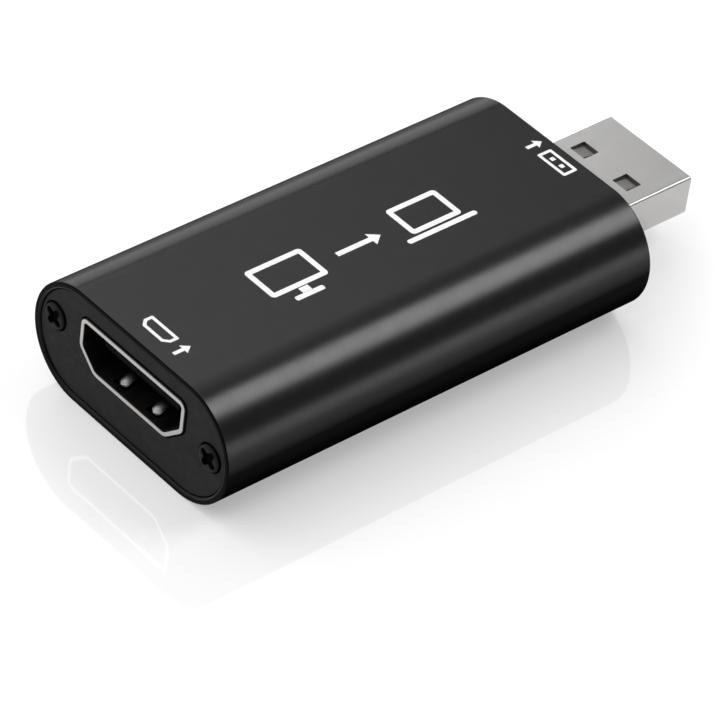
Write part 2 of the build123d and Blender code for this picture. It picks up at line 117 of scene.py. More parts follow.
CROSS_SHADE_BOTTOM = SCREW_CROWN - CROSS_DEPTH - 0.05
CROWN_SHADE_RADIUS = 0.9 * SCREW_HEAD_RADIUS
CROWN_SHADE_TOP = 0.45 * SCREW_CROWN

# Video socket
SOCKET_WIDTH = 14.0
SOCKET_HEIGHT = 4.55
SOCKET_FLOOR_WIDTH = 9.9
SOCKET_SIDE_HEIGHT = 2.675
SOCKET_FLOOR_RADIUS = 0.9
SOCKET_SHOULDER_RADIUS = 0.6
SOCKET_TOP_RADIUS = 0.35
SOCKET_SHEET = 0.3
SOCKET_MIDDLE = BOARD_TOP + SOCKET_SHEET + SOCKET_HEIGHT / 2
SOCKET_FRONT = 0.05
SOCKET_BACK = 11.25
LIP_WIDTH = 0.5
LIP_DEPTH = 0.7
LIP_MOUTH_EDGE = 0.1
LIP_FRONT_EDGE = 0.12
LIP_BACK_EDGE = 0.1
FINGER_XS = (-2.35, 2.35)
FINGER_WIDTH = 1.2
FINGER_SLOT = 0.3
FINGER_SHEET = 0.2
FINGER_ROOT = 6.0
FINGER_OVERLAP = 0.3
FINGER_CREST = 2.35
FINGER_TIP = 1.05
FINGER_NOSE = 0.55
FINGER_CLIMB = 0.68
FINGER_FALL = 0.64
FINGER_CROWN = 0.2
FINGER_CROWN_START = 4.5
FINGER_CROWN_LENGTH = 2.0
WINDOW_FRONT = FINGER_TIP - FINGER_SLOT + 0.02
WINDOW_WIDTH = 2 * (FINGER_WIDTH / 2 + FINGER_SLOT)
WINDOW_HEIGHT = 1.2
WINDOW_CORNER = 0.05

# Computer plug
PLUG_WIDTH = 12.0
PLUG_HEIGHT = 4.5
PLUG_CORNER = 0.38
PLUG_SHEET = 0.3
PLUG_MOUTH_EDGE = 0.13
PLUG_INNER_EDGE = 0.08
PLUG_DROP = 1.18
PLUG_MIDDLE = SLEEVE_MIDDLE - PLUG_DROP
PLUG_REACH = 13.2
PLUG_TIP = SLEEVE_LENGTH + PLUG_REACH
PLUG_HELD_LENGTH = 5.3
PLUG_BACK = SLEEVE_LENGTH - PLUG_HELD_LENGTH
PLUG_HOLE_XS = (-3.05, 3.05)
PLUG_HOLE_WIDTH = 2.1
PLUG_HOLE_LENGTH = 1.95
PLUG_HOLE_CORNER = 0.12
PLUG_HOLE_SETBACK = 5.12
PLUG_HOLE_REACH = 0.5
PLUG_SEAM = 0.1
PLUG_SEAM_HEIGHT = 1.2 * PLUG_SHEET
PLUG_SEAM_CORNER = 0.02
PLUG_TONGUE_GAP = 0.03
PLUG_TONGUE_TOP = PLUG_MIDDLE + PLUG_HEIGHT / 2 - PLUG_SHEET - PLUG_TONGUE_GAP

# Printed marks
PRINT_HEIGHT = 0.006
MARK_BOTTOM = SLEEVE_HEIGHT - 3 * PRINT_HEIGHT
MARK_STROKE = 0.34
MARK_LEAST_RADIUS = 0.04
ARROW_LENGTH = 2.0
ARROW_STROKE = 0.42
SCREEN_STROKE = 0.6

# Camera, solved from the photograph: angles in degrees, distance and shift in millimetres
CAMERA_AZIMUTH = 44.049
CAMERA_ELEVATION = 39.519
CAMERA_ROLL = 8.1
CAMERA_DISTANCE = 431.951
CAMERA_SHIFT = (2.888, -5.605)
CAMERA_FOCAL_PIXELS = 4618.57
IMAGE_PIXELS = 720
SENSOR_WIDTH = 36
CAMERA_AIM = (0.0, 25.0, 6.5)

# Floor, in metres and degrees
FLOOR_FLAT = 1.25
FLOOR_BEND = 0.5
FLOOR_RISE = 60
FLOOR_WHITE = 0.66
FLOOR_ROUGHNESS = 0.04
FLOOR_IOR = 1.8
FLOOR_GLOW = 0.38

# Lamps, with lengths in metres: name, direction, size and radiance
LAMP_DISTANCE = 0.9
LAMPS = (
    ("strip", (0.265, 0.552, 0.791), (0.36, 0.4), 5.4),
    ("low", (0.83, 0.55, 0.09), (0.22, 0.25), 0.5),
    ("edge", (-0.82, 0.55, 0.14), (0.5, 0.5), 6.0),
    ("front", (0.04, -0.7, 0.72), (0.22, 0.22), 3.0),
)

# Studio glow: its brightest direction, and its strength by the cosine of the angle from there
GLOW_DIRECTION = (-0.75, -0.30, 0.60)
GLOW_STOPS = (
    (0.0, 0.18), (0.3, 0.3), (0.5, 0.28), (0.565, 0.8), (0.65, 0.95), (0.8, 1.5), (1.0, 2.2),
)

ARC_STEPS = 13
HALF_CIRCLE_STEPS = 65
CIRCLE_STEPS = 96
SMOOTH_ANGLE = 35
WELD_DISTANCE = 0.0004


# ---------------------------------------------------------------- contours


def arc(centre, radius, start, end, steps=ARC_STEPS):
    """Points and outward normals of an arc: the centre plus the radius times the unit vector at
    each angle."""
    angle = np.radians(np.linspace(start, end, steps))
    normals = np.stack([np.cos(angle), np.sin(angle)], 1)
    return np.asarray(centre) + radius * normals, normals


def joined(arcs):
    """Closed contour of arcs with straight lines between them, as points and outward normals."""
    points, normals = zip(*arcs)
    return np.concatenate(points), np.concatenate(normals)


def stadium(width, height, middle):
    """Flat top and bottom with half circles at both sides."""
    radius = height / 2
    side = width / 2 - radius
    return joined([
        arc((side, middle), radius, -90, 90, HALF_CIRCLE_STEPS),
        arc((-side, middle), radius, 90, 270, HALF_CIRCLE_STEPS),
    ])


def circle(centre, radius):
    """A full circle, without its closing point."""
    points, normals = arc(centre, radius, 0, 360, CIRCLE_STEPS + 1)
    return points[:-1], normals[:-1]


def side_normals(corners):
    """Outward normals of the sides before and after each corner of an anticlockwise polygon."""
    along = np.roll(corners, -1, 0) - corners
    along /= np.linalg.norm(along, axis=1)[:, None]
    after = np.stack([along[:, 1], -along[:, 0]], 1)
    return np.roll(after, 1, 0), after


def moved_in(corners, distance):
    """Corners moved in until both of their sides are a distance away: along the sum of the two
    normals, by the distance over one plus their product."""
    before, after = side_normals(corners)
    return corners - (before + after) * (distance / (1 + (before * after).sum(1)))[:, None]


def rounded_polygon(corners, radii):
    """Convex polygon, anticlockwise, with an arc at each corner that touches both of its sides."""
    before, after = side_normals(corners)
    centres = moved_in(corners, np.asarray(radii, float))
    start = np.degrees(np.arctan2(before[:, 1], before[:, 0]))
    turn = (np.degrees(np.arctan2(after[:, 1], after[:, 0])) - start) % 360
    return joined([arc(c, r, s, s + t) for c, r, s, t in zip(centres, radii, start, turn)])


def rectangle(width, height, centre):
    """Corners of a rectangle."""
    corners = [(-width, -height), (width, -height), (width, height), (-width, height)]
    return np.array(corners) / 2 + centre


def rounded_rectangle(width, height, radius, centre):
    """Rectangle with four equal corner arcs."""
    return rounded_polygon(rectangle(width, height, centre), [radius] * 4)


def socket_mouth():
    """Inner outline of the video socket, wide side up."""
    side, top = SOCKET_WIDTH / 2, SOCKET_MIDDLE + SOCKET_HEIGHT / 2
    floor, shoulder = SOCKET_MIDDLE - SOCKET_HEIGHT / 2, top - SOCKET_SIDE_HEIGHT
    half_floor = SOCKET_FLOOR_WIDTH / 2
    corners = np.array([
        (-half_floor, floor), (half_floor, floor), (side, shoulder),
        (side, top), (-side, top), (-side, shoulder),
    ])
    half_radii = [SOCKET_FLOOR_RADIUS, SOCKET_SHOULDER_RADIUS, SOCKET_TOP_RADIUS]
    return rounded_polygon(corners, half_radii[:1] + half_radii + half_radii[:0:-1])


def moved(loop, offset):
    """The contour's points, each moved along its normal."""
    return loop[0] + offset * loop[1]


# ---------------------------------------------------------------- surfaces


def carried(loop, profile):
    """Profile carried round a contour: each point goes along its normal by the profile's first
    number, to the depth that is its second."""
    points, normals = loop
    offset, depth = np.asarray(profile, float).T
    flat = points[None] + offset[:, None, None] * normals[None]
    back = np.broadcast_to(depth[:, None, None], flat.shape[:2] + (1,))
    return np.concatenate([flat[..., :1], back, flat[..., 1:]], 2)


def corner(offset, depth, radius, start, end, steps=7):
    """Arc of a profile, about a centre given by offset and depth, from one angle to another."""
    angle = np.radians(np.linspace(start, end, steps))
    return [
        (offset + radius * a, depth + radius * b)
        for a, b in zip(np.cos(angle), np.sin(angle))
    ]


def quads(rows, columns, close_rows):
    """Corner numbers of the quads between neighbouring rows and columns of a grid: a row's number
    times the columns plus the column's number, where the last column joins the first."""
    row = np.arange(rows if close_rows else rows - 1)
    row, column = np.meshgrid(row, np.arange(columns), indexing="ij")
    start, below = row * columns, (row + 1) % rows * columns
    beside = (column + 1) % columns
    corners = [start + column, start + beside, below + beside, below + column]
    return np.stack(corners, -1).reshape(-1, 4)


def skin(grid, close_rows=False):
    """Patch of quads over a grid of points, each row of which is closed."""
    rows, columns = grid.shape[:2]
    return grid.reshape(-1, 3), quads(rows, columns, close_rows).tolist()


def face_between(loops, depth):
    """Flat patch at a depth, inside the first outline and outside the others."""
    triangles = tessellate_polygon([np.pad(loop, ((0, 0), (0, 1))).tolist() for loop in loops])
    flat = np.concatenate(loops)
    points = np.stack([flat[:, 0], np.full(len(flat), depth), flat[:, 1]], 1)
    return points, [list(triangle) for triangle in triangles]


def plate(outline, openings, start, end, edge):
    """Plate between two depths with rounded edges on its outline and on its openings."""
    rim = corner(-edge, start + edge, edge, -90, 0, 5)
    rim += corner(-edge, end - edge, edge, 0, 90, 5)
    patches = [skin(carried(outline, rim))]
    for loop, hole_edge in openings:
        wall = corner(hole_edge, start + hole_edge, hole_edge, 270, 180, 5)
        wall += corner(hole_edge, end - hole_edge, hole_edge, 180, 90, 5)
        patches.append(skin(carried(loop, wall)))
    rings = [moved(outline, -edge)] + [moved(loop, hole_edge) for loop, hole_edge in openings]
    return patches + [face_between(rings, start), face_between(rings, end)]


def gathered(patches):
    """Points and faces of all patches: each patch's corner numbers go up by the count of points
    before it."""
    starts = np.cumsum([0] + [len(points) for points, _ in patches[:-1]])
    faces = []
    for (_, part), start in zip(patches, starts):
        faces += (np.asarray(part) + start).tolist()
    return np.concatenate([points for points, _ in patches]), faces


def piece(name, patches, material, slot, replaced=(), smooth_angle=SMOOTH_ANGLE):
    """Object made of patches, welded where they meet, riding on the body. Any slot but None makes
    it ride, and the slot's name is not used; None is for a tool that is cut out of a piece and
    doesn't ride."""
    points, faces = gathered(patches)
    data = bpy.data.meshes.new(name)
    data.from_pydata(((points + (0, FRONT, 0)) * MM).tolist(), [], faces)
    mesh = bmesh.new()
    mesh.from_mesh(data)
    bmesh.ops.remove_doubles(mesh, verts=mesh.verts, dist=WELD_DISTANCE * MM)
    bmesh.ops.recalc_face_normals(mesh, faces=mesh.faces)
    mesh.to_mesh(data)
    mesh.free()
    made = bpy.data.objects.new(name, data)
    bpy.context.scene.collection.objects.link(made)
    data.materials.append(material)
    shade(made, smooth_angle)
    if replaced:
        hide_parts(*replaced)
    if slot is not None:
        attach(made, "root")
    return made


def settle(made, step):
    """Works a modifier into the mesh."""
    bpy.context.view_layer.update()
    worked = made.evaluated_get(bpy.context.evaluated_depsgraph_get())
    made.data = bpy.data.meshes.new_from_object(worked)
    made.modifiers.remove(step)


def shade(made, angle):
    """Smooth shading with sharp edges past an angle; large faces keep their own direction."""
    made.data.shade_smooth()
    made.data.set_sharp_from_angle(angle=math.radians(angle))
    step = made.modifiers.new("large_faces", "WEIGHTED_NORMAL")
    step.keep_sharp = True
    settle(made, step)


def cut(made, patches):
    """Takes the volume of the patches out of a piece."""
    tool = piece("tool", patches, made.data.materials[0], None)
    step = made.modifiers.new("cut", "BOOLEAN")
    step.operation, step.solver, step.object = "DIFFERENCE", "EXACT", tool
    settle(made, step)
    bpy.data.objects.remove(tool)
    shade(made, SMOOTH_ANGLE)


# ---------------------------------------------------------------- materials


def grey_ramp(nodes, stops):
    """Ramp node with a grey level at each of some rising places between 0 and 1."""
    ramp = nodes.new("ShaderNodeValToRGB")
    elements = ramp.color_ramp.elements
    for place, _ in stops[1:-1]:
        elements.new(place)
    for element, (place, level) in zip(elements, stops):
        element.position, element.color = place, (level, level, level, 1)
    return ramp


class Finish:
    """Node material that starts as a plain principled shader and gets its detail from noise in
    object space."""

    def __init__(self, name, colour, metallic, roughness, specular=0.5, ior=1.5):
        self.material = bpy.data.materials.new(name)
        self.material.use_nodes = True
        self.nodes = self.material.node_tree.nodes
        self.links = self.material.node_tree.links
        self.shader = self.nodes["Principled BSDF"]
        self.place = self.nodes.new("ShaderNodeTexCoord").outputs["Object"]
        self.set("Base Color", (*colour, 1))
        self.set("Metallic", metallic)
        self.set("Roughness", roughness)
        self.set("Specular IOR Level", specular)
        self.set("IOR", ior)
        self.colour = colour
        self.height = None

    def set(self, socket, value):
        """Gives one of the shader's sockets a fixed value."""
        self.shader.inputs[socket].default_value = value

    def noise(self, size, detail, stretch=(1, 1, 1)):
        """Noise whose blobs are about size millimetres across, stretched along an axis where a
        number is small."""
        mapping = self.nodes.new("ShaderNodeMapping")
        mapping.inputs["Scale"].default_value = stretch
        self.links.new(self.place, mapping.inputs["Vector"])
        noise = self.nodes.new("ShaderNodeTexNoise")
        noise.inputs["Scale"].default_value = 1 / (size * MM)
        noise.inputs["Detail"].default_value = detail
        self.links.new(mapping.outputs["Vector"], noise.inputs["Vector"])
        return noise.outputs["Fac"]

    def calm_edges(self, stops):
        """Takes the sheen down where the surface is seen at a slant: pairs of slant, from 0 to 1,
        and level."""
        slant = self.nodes.new("ShaderNodeLayerWeight")
        ramp = grey_ramp(self.nodes, stops)
        self.links.new(slant.outputs["Facing"], ramp.inputs["Fac"])
        self.links.new(ramp.outputs["Color"], self.shader.inputs["Specular IOR Level"])
        return self

    def dull_below(self, none, full, power):
        """Lets the sheen fade downwards: a power of the share of the way up between two heights,
        in millimetres."""
        level = self.shader.inputs["Specular IOR Level"]
        before = level.links[0].from_socket
        apart = self.nodes.new("ShaderNodeSeparateXYZ")
        share = self.nodes.new("ShaderNodeMapRange")
        share.inputs["From Min"].default_value = none * MM
        share.inputs["From Max"].default_value = full * MM
        curve, product = (self.nodes.new("ShaderNodeMath") for _ in range(2))
        curve.operation, product.operation = "POWER", "MULTIPLY"
        curve.inputs[1].default_value = power
        self.links.new(self.place, apart.inputs["Vector"])
        self.links.new(apart.outputs["Z"], share.inputs["Value"])
        self.links.new(share.outputs["Result"], curve.inputs[0])
        self.links.new(curve.outputs["Value"], product.inputs[0])
        self.links.new(before, product.inputs[1])
        self.links.new(product.outputs["Value"], level)
        return self

    def spread(self, factor, low, high):
        """Turns a noise into a range of roughness."""
        ramp = self.nodes.new("ShaderNodeMapRange")
        ramp.inputs["From Min"].default_value = 0.3
        ramp.inputs["From Max"].default_value = 0.7
        ramp.inputs["To Min"].default_value = low
        ramp.inputs["To Max"].default_value = high
        self.links.new(factor, ramp.inputs["Value"])
        self.links.new(ramp.outputs["Result"], self.shader.inputs["Roughness"])
        return self

    def tint(self, factor, darker, lighter):
        """Base colour that wanders between two shares of itself."""
        ramp = self.nodes.new("ShaderNodeValToRGB")
        ramp.color_ramp.elements[0].position = 0.3
        ramp.color_ramp.elements[1].position = 0.7
        ramp.color_ramp.elements[0].color = (*[c * darker for c in self.colour], 1)
        ramp.color_ramp.elements[1].color = (*[min(c * lighter, 1) for c in self.colour], 1)
        self.links.new(factor, ramp.inputs["Fac"])
        self.links.new(ramp.outputs["Color"], self.shader.inputs["Base Color"])
        return self

    def paint_shade_at_height(self, height, reach, share):
        """Painted shade: darkens the colour to a share of itself within a reach of one height, in
        millimetres.
        """
        base = self.shader.inputs["Base Color"]
        before = base.links[0].from_socket
        apart = self.nodes.new("ShaderNodeSeparateXYZ")
        near, lit = (self.nodes.new("ShaderNodeMath") for _ in range(2))
        scaled = self.nodes.new("ShaderNodeVectorMath")
        near.operation, lit.operation, scaled.operation = "COMPARE", "MULTIPLY_ADD", "SCALE"
        near.inputs[1].default_value = height * MM
        near.inputs[2].default_value = reach * MM
        lit.inputs[1].default_value = share - 1
        lit.inputs[2].default_value = 1
        self.links.new(self.place, apart.inputs["Vector"])
        self.links.new(apart.outputs["Z"], near.inputs[0])
        self.links.new(near.outputs["Value"], lit.inputs[0])
        self.links.new(before, scaled.inputs["Vector"])
        self.links.new(lit.outputs["Value"], scaled.inputs["Scale"])
        self.links.new(scaled.outputs["Vector"], base)
        return self

    def relief(self, factor, depth):
        """Bump of a depth in millimetres, on top of any earlier one."""
        bump = self.nodes.new("ShaderNodeBump")
        bump.inputs["Distance"].default_value = depth * MM
        bump.inputs["Strength"].default_value = 1.0
        self.links.new(factor, bump.inputs["Height"])
        if self.height:
            self.links.new(self.height, bump.inputs["Normal"])
        self.height = bump.outputs["Normal"]
        self.links.new(self.height, self.shader.inputs["Normal"])
        return self


def anodised():
    """Black anodised skin over blasted aluminium: fine even grain, satin sheen, faint clouds."""
    f = Finish("black_anodised_aluminium", (0.004, 0.004, 0.0042), 0.0, 0.25)
    f.calm_edges((
        (0.25, 0.5), (0.36, 0.36), (0.46, 0.04), (0.58, 0.02), (0.72, 0.0035), (0.86, 0.00012),
        (1.0, 0.00004),
    ))
    f.dull_below(none=4.0, full=9.3, power=2.1)
    f.spread(f.noise(1.6, 3), 0.235, 0.27)
    f.tint(f.noise(4.0, 2), 0.92, 1.08)
    return f.relief(f.noise(0.09, 2), 0.0016)


def sawn_edge():
    """Matt black of the extrusion's sawn ends, anodised like the rest but rougher."""
    f = Finish("black_sawn_ends", (0.002, 0.002, 0.002), 0.0, 0.5, specular=0.03)
    f.spread(f.noise(0.3, 3), 0.45, 0.56)
    f.tint(f.noise(0.5, 3), 0.85, 1.15)
    return f.relief(f.noise(0.06, 2), 0.002)


def rim_skin():
    """Satin black of the rounding inside the rims, cleaned after the sawing."""
    f = Finish("black_rim_rounding", (0.004, 0.004, 0.004), 0.0, 0.33, specular=0.12)
    f.spread(f.noise(0.5, 3), 0.3, 0.37)
    f.tint(f.noise(0.8, 3), 0.9, 1.1)
    return f.relief(f.noise(0.07, 2), 0.002)


def plate_coat():
    """Matt black coat of the end plates, with a fine powdery grain."""
    f = Finish("matt_black_coat", (0.011, 0.011, 0.011), 0.0, 0.62, specular=0.14)
    f.spread(f.noise(0.8, 3), 0.58, 0.68)
    f.tint(f.noise(2.5, 2), 0.9, 1.1)
    return f.relief(f.noise(0.07, 2), 0.003)


def screw_black():
    """Blackened steel of the screws."""
    f = Finish("blackened_steel", (0.007, 0.007, 0.007), 0.0, 0.55, specular=0.11)
    f.spread(f.noise(0.4, 3), 0.5, 0.62)
    f.tint(f.noise(0.5, 2), 0.8, 1.2)
    return f.relief(f.noise(0.08, 2), 0.002)


def painted_screw_shade():
    """Painted shade: near-black colour for the bottom of the screws' crosses and the lower side of
    their crowns.
    """
    f = Finish("painted_shade_black", (0.0012, 0.0012, 0.0012), 0.0, 0.7, specular=0.03)
    return f.spread(f.noise(0.2, 2), 0.6, 0.8)


def bright_nickel():
    """Nickel on the stamped shell of the video socket, with faint drawing lines."""
    f = Finish("bright_nickel", (0.41, 0.4, 0.396), 1.0, 0.2)
    f.spread(f.noise(0.3, 2, (1, 0.12, 1)), 0.16, 0.26)
    f.tint(f.noise(1.2, 2), 0.97, 1.02)
    return f.relief(f.noise(0.12, 2, (1, 0.15, 1)), 0.0006)


def nickel_painted_shade():
    """Nickel inside the socket, rougher, with its colour darkened as painted shade."""
    f = Finish("nickel_painted_shade", (0.06, 0.055, 0.053), 1.0, 0.4)
    f.spread(f.noise(0.3, 2, (1, 0.12, 1)), 0.34, 0.46)
    return f.tint(f.noise(1.2, 2), 0.9, 1.1)


def finger_nickel():
    """Nickel of the spring fingers, with its colour darker than the lip's as painted shade for the
    inside of the socket.
    """
    f = Finish("finger_nickel", (0.21, 0.206, 0.203), 1.0, 0.3)
    f.spread(f.noise(0.25, 2, (1, 0.2, 1)), 0.25, 0.35)
    return f.tint(f.noise(0.5, 2), 0.92, 1.06)


def satin_nickel():
    """Softer nickel on the shell of the computer plug."""
    f = Finish("satin_nickel", (0.47, 0.465, 0.455), 1.0, 0.3)
    f.spread(f.noise(0.5, 3, (1, 0.1, 1)), 0.28, 0.34)
    f.tint(f.noise(2.0, 2), 0.98, 1.015)
    return f.relief(f.noise(0.15, 2, (1, 0.12, 1)), 0.0003)


def moulding(name, colour, roughness, specular=0.5):
    """Moulded plastic with a fine spark-eroded grain."""
    f = Finish(name, colour, 0.0, roughness, specular, 1.55)
    f.spread(f.noise(0.5, 2), roughness - 0.05, roughness + 0.06)
    f.tint(f.noise(1.5, 2), 0.95, 1.04)
    return f.relief(f.noise(0.1, 2), 0.002)


def plug_moulding():
    """Grey moulding of the plug. Its top, which only shows beside the wedges in the holes, is
    darkened as painted shade."""
    f = moulding("grey_moulding", (0.125, 0.122, 0.117), 0.45)
    return f.paint_shade_at_height(PLUG_TONGUE_TOP, reach=0.03, share=0.15)


def plated(name, colour, roughness):
    """Thin plated metal with slight drawing lines."""
    f = Finish(name, colour, 1.0, roughness)
    f.spread(f.noise(0.25, 2, (1, 0.2, 1)), roughness - 0.05, roughness + 0.07)
    return f.tint(f.noise(0.8, 2), 0.94, 1.04)


def solder_mask():
    """Black mask over the board's laminate, with the faint weave of the glass cloth under it."""
    f = Finish("black_solder_mask", (0.012, 0.013, 0.013), 0.0, 0.35)
    f.spread(f.noise(1.0, 2), 0.3, 0.42)
    f.tint(f.noise(0.7, 3), 0.8, 1.15)
    f.relief(f.noise(0.3, 1, (1, 0.1, 1)), 0.002)
    return f.relief(f.noise(0.3, 1, (0.1, 1, 1)), 0.002)


def fired(name, colour, roughness):
    """Fired ceramic with a speckle."""
    f = Finish(name, colour, 0.0, roughness)
    f.spread(f.noise(0.2, 2), roughness - 0.08, roughness + 0.08)
    f.tint(f.noise(0.15, 3), 0.88, 1.1)
    return f.relief(f.noise(0.08, 2), 0.002)


def white_ink():
    """White pad-printed ink, a little uneven."""
    f = Finish("white_ink", (0.86, 0.86, 0.87), 0.0, 0.55)
    f.spread(f.noise(0.15, 3), 0.5, 0.65)
    return f.tint(f.noise(0.12, 3), 0.9, 1.05)


SLEEVE_SKIN = anodised().material
SAWN_EDGE = sawn_edge().material
RIM_SKIN = rim_skin().material
PLATE_COAT = plate_coat().material
SCREW_BLACK = screw_black().material
SCREW_PAINTED_SHADE = painted_screw_shade().material
SOCKET_NICKEL = bright_nickel().material
SOCKET_PAINTED_SHADE = nickel_painted_shade().material
FINGER_NICKEL = finger_nickel().material
PLUG_NICKEL = satin_nickel().material
SOCKET_PLASTIC = moulding("black_moulding", (0.002, 0.0018, 0.0017), 0.6, specular=0.04).material
PLUG_PLASTIC = plug_moulding().material
CHIP_PLASTIC = moulding("chip_moulding", (0.02, 0.02, 0.021), 0.6).material
CONTACT_GOLD = plated("contact_gold", (0.9, 0.66, 0.3), 0.25).material
LEAD_TIN = plated("lead_tin", (0.68, 0.68, 0.67), 0.35).material
LID_METAL = plated("lid_metal", (0.72, 0.7, 0.66), 0.28).material
SOLDER_MASK = solder_mask().material
CRYSTAL_CERAMIC = fired("crystal_ceramic", (0.62, 0.6, 0.54), 0.5).material
CAPACITOR_CERAMIC = fired("capacitor_ceramic", (0.42, 0.3, 0.18), 0.4).material
RESISTOR_CERAMIC = fired("resistor_ceramic", (0.025, 0.025, 0.028), 0.4).material
FERRITE = fired("ferrite", (0.07, 0.07, 0.075), 0.6).material
WHITE_INK = white_ink().material

NODE_FINISHES = {
    "circuit_board": SOLDER_MASK,
    "socket_insulator": SOCKET_PLASTIC,
    "socket_upper_contacts": CONTACT_GOLD,
    "socket_lower_contacts": CONTACT_GOLD,
    "plug_insulator": PLUG_PLASTIC,
    "plug_contacts": CONTACT_GOLD,
    "capture_chip": CHIP_PLASTIC,
    "capture_chip_leads": LEAD_TIN,
    "memory_chip": CHIP_PLASTIC,
    "memory_chip_leads": LEAD_TIN,
    "crystal_base": CRYSTAL_CERAMIC,
    "crystal_lid": LID_METAL,
    "regulators": CHIP_PLASTIC,
    "regulator_leads": LEAD_TIN,
    "capacitors": CAPACITOR_CERAMIC,
    "resistors": RESISTOR_CERAMIC,
    "surge_arrays": CHIP_PLASTIC,
    "ferrite_bead": FERRITE,
}
for node, finish in NODE_FINISHES.items():
    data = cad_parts[node].data
    data.materials.clear()
    data.materials.append(finish)


# ---------------------------------------------------------------- sleeve


def sleeve_wall_profile():
    """Section through the sleeve's wall, as offset from the outer skin and depth: rounded rims
    and pockets."""
    outer, inner = RIM_OUTER_RADIUS, RIM_INNER_RADIUS
    pocket = PLATE_RECESS + PLATE_THICKNESS
    end = SLEEVE_LENGTH
    profile = corner(-outer, end - outer, outer, 0, 90)
    profile += corner(-RIM_WALL + inner, end - inner, inner, 90, 180)
    profile += [(-RIM_WALL, end - pocket), (-SLEEVE_WALL, end - pocket)]
    profile += [(-SLEEVE_WALL, pocket), (-RIM_WALL, pocket)]
    profile += corner(-RIM_WALL + inner, inner, inner, 180, 270)
    profile += corner(-outer, outer, outer, 270, 360)
    return profile


def face_vectors(made, name):
    """A vector of every face of a piece, its normal or its centre."""
    values = np.empty(3 * len(made.data.polygons))
    made.data.polygons.foreach_get(name, values)
    return values.reshape(-1, 3)


def more_materials(made, materials, chosen):
    """Gives faces of a piece further materials: the one whose number, from 1, each face has
    chosen."""
    for material in materials:
        made.data.materials.append(material)
    made.data.polygons.foreach_set("material_index", chosen.astype(np.int32))


def block(left, right, bottom, top):
    """Corners of a rectangle from the places of its sides."""
    return np.array([(left, bottom), (right, bottom), (right, top), (left, top)])


def screw_port(side, height):
    """Open boss for the screws and the ribs that hold the board's edge, as outlines for bars."""
    centre = (side * SCREW_X, height)
    inwards = 180 if side > 0 else 0
    first, last = inwards + PORT_MOUTH_ANGLE / 2, inwards + 360 - PORT_MOUTH_ANGLE / 2
    outer, _ = arc(centre, PORT_RADIUS, first, last, 49)
    inner, _ = arc(centre, PORT_BORE_RADIUS, last, first, 33)
    boss = np.concatenate([outer, inner])
    half = SLEEVE_WIDTH / 2
    board_half = half - BOARD_INSET
    slot_mouth, slot_end = board_half - SLOT_REACH, board_half + SLOT_PLAY
    bottom, top = BOARD_TOP - BOARD_THICKNESS - SLOT_PLAY, BOARD_TOP + SLOT_PLAY
    rib = block(slot_mouth, half - RIB_INSET, bottom - RIB_HEIGHT, bottom)
    wall = block(slot_end, half - SHELF_INSET, bottom, top)
    shelf = block(slot_mouth, half - SHELF_INSET, top, top + SHELF_HEIGHT)
    return [boss] + [outline * (side, 1) for outline in (rib, wall, shelf)]


def plain_bar(outline, start, end):
    """Bar of an outline between two depths, with sharp ends."""
    flat = np.stack([outline, outline])
    back = np.broadcast_to(np.array([[start], [end]]), flat.shape[:2])
    grid = np.stack([flat[..., 0], back, flat[..., 1]], 2)
    return [skin(grid), face_between([outline], start), face_between([outline], end)]


def make_sleeve():
    """The extrusion: its wall carried round the section, and the ports inside. The rims look
    sawn outside and cleaned on the rounding inside, told apart by how far a face's centre lies in
    from the skin and by the share of its normal that points along the sleeve."""
    outline = stadium(SLEEVE_WIDTH, SLEEVE_HEIGHT - 2 * PRINT_HEIGHT, SLEEVE_MIDDLE)
    patches = [skin(carried(outline, sleeve_wall_profile()), close_rows=True)]
    pocket = PLATE_RECESS + PLATE_THICKNESS
    for side, (_, height) in zip((-1, 1), SCREW_PLACES):
        for part in screw_port(side, height):
            patches += plain_bar(part, pocket, SLEEVE_LENGTH - pocket)
    sleeve = piece("sleeve_skin", patches, SLEEVE_SKIN, "sleeve_aluminium", ["sleeve"])
    normals, centres = face_vectors(sleeve, "normal"), face_vectors(sleeve, "center") / MM
    across = np.maximum(np.abs(centres[:, 0]) - (SLEEVE_WIDTH - SLEEVE_HEIGHT) / 2, 0)
    offset = np.hypot(across, centres[:, 2] - SLEEVE_MIDDLE) - SLEEVE_HEIGHT / 2
    slope = np.abs(normals[:, 1])
    rounding = (offset < -SAWN_WIDTH) & (offset > -ROUNDING_END) & (slope > ROUNDING_SLOPE)
    sawn = (offset >= -SAWN_WIDTH) & (slope > SAWN_SLOPE)
    more_materials(sleeve, (SAWN_EDGE, RIM_SKIN), sawn + 2 * rounding)


make_sleeve()


# ---------------------------------------------------------------- end plates


def plate_outline():
    """Outline of both end plates, inside the rim."""
    inset = RIM_WALL + PLATE_GAP
    return stadium(SLEEVE_WIDTH - 2 * inset, SLEEVE_HEIGHT - 2 * inset, SLEEVE_MIDDLE)


def make_plate(name, node, start, opening, margin):
    """End plate with rounded edges round its outline, its opening and its screw holes."""
    holes = [(circle(place, SCREW_HOLE_RADIUS), SCREW_HOLE_EDGE) for place in SCREW_PLACES]
    mouth = (moved(opening, margin), opening[1])
    openings = [(mouth, OPENING_EDGE)] + holes
    patches = plate(plate_outline(), openings, start, start + PLATE_THICKNESS, PLATE_EDGE)
    piece(name, patches, PLATE_COAT, "plate_metal", [node])


plug_contour = rounded_rectangle(PLUG_WIDTH, PLUG_HEIGHT, PLUG_CORNER, (0, PLUG_MIDDLE))
rear_start = SLEEVE_LENGTH - PLATE_RECESS - PLATE_THICKNESS
front_margin = LIP_WIDTH + OPENING_GAP
make_plate("front_plate_coated", "front_plate", PLATE_RECESS, socket_mouth(), front_margin)
make_plate("rear_plate_coated", "rear_plate", rear_start, plug_contour, OPENING_GAP)


# ---------------------------------------------------------------- screws


def smooth_step(value):
    """Zero below 0, one above 1, and a smooth rise between."""
    t = np.clip(value, 0, 1)
    return t * t * (3 - 2 * t)


